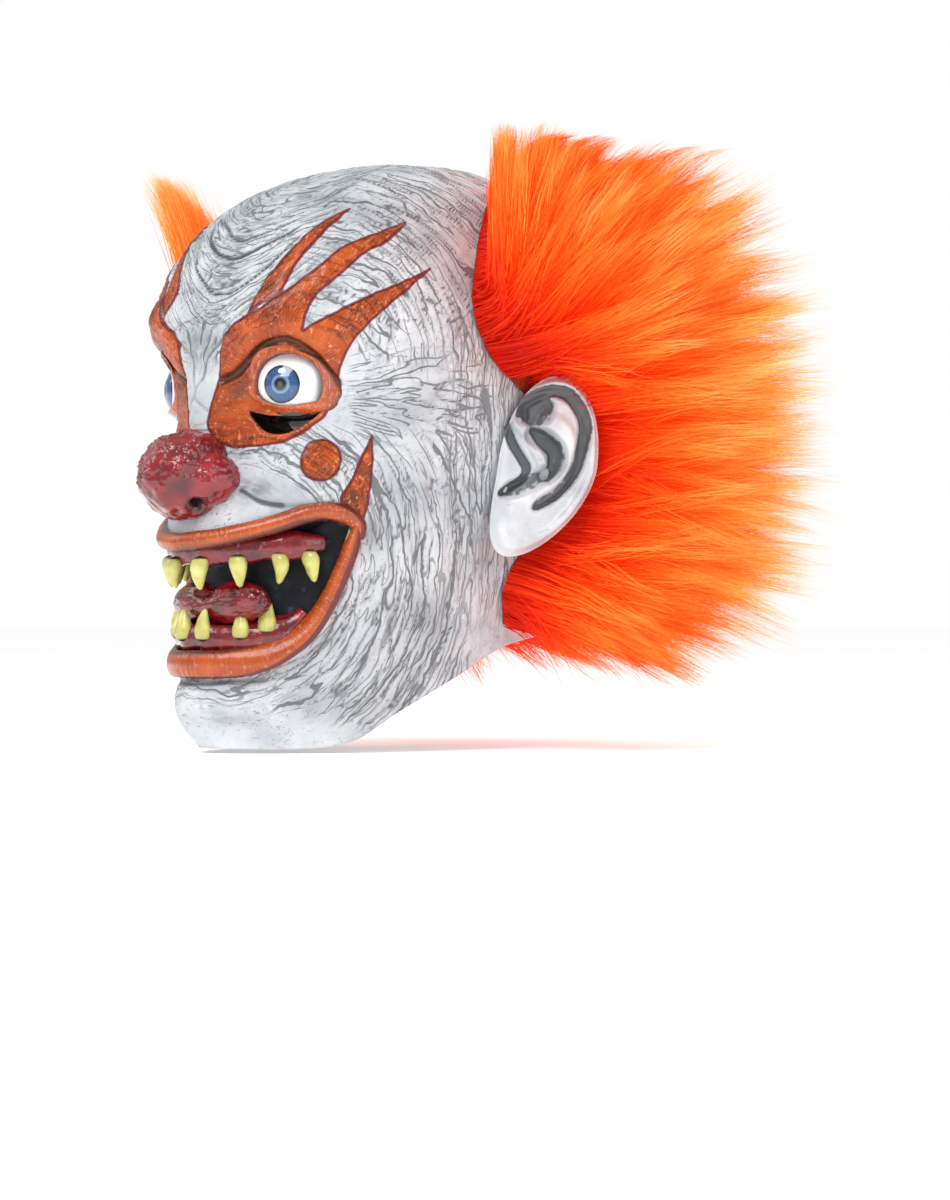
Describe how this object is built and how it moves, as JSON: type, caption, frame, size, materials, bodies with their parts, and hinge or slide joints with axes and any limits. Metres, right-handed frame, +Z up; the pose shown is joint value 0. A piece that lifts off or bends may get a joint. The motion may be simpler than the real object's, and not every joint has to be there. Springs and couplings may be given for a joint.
{
  "type": "latex clown mask",
  "caption": "Over-the-head hollow latex clown mask with a toothed grin, ball nose, vision slits below glossy eyes, ears and a wide collar of orange faux fur.",
  "frame": {"origin": "middle of the neck opening, at the level of the chin's underside", "axes": "+Z up to the crown, -Y the way the face looks, +X the wearer's left"},
  "size_m": [0.3616, 0.3678, 0.3004],
  "materials": {
    "latex_skin": "matte white latex with dark grey wash in its creases and painted orange patches",
    "orange_latex": "brushed orange paint on latex, dark red edges",
    "nose_red": "glossy deep red, pimpled latex",
    "eye_gloss": "clear-coated white dome with a painted blue iris",
    "mouth_dark": "satin dark navy and black paint on latex",
    "gum_red": "glossy dark red paint on latex",
    "tooth": "satin pale yellow with darker roots",
    "fur_pile": "long acrylic pile, red-orange at the roots and lighter at the tips",
    "fur_backing": "knitted polyester backing"
  },
  "bodies": {
    "root": {"latex_skin": "latex_skin", "ear_left": "latex_skin", "ear_right": "latex_skin", "nose": "nose_red", "eye_left": "eye_gloss", "eye_right": "eye_gloss", "eyelids_left": "orange_latex", "eyelids_right": "orange_latex", "lip_upper": "orange_latex", "lip_lower": "orange_latex", "mouth_pan": "mouth_dark", "gum_upper": "gum_red", "gum_lower": "gum_red", "tongue": "gum_red", "teeth_upper": "tooth", "teeth_lower": "tooth", "fur_backing_left": "fur_backing", "fur_backing_right": "fur_backing", "fur_backing_back": "fur_backing", "fur_left": "fur_pile", "fur_right": "fur_pile", "fur_back": "fur_pile"}
  },
  "joints": []
}
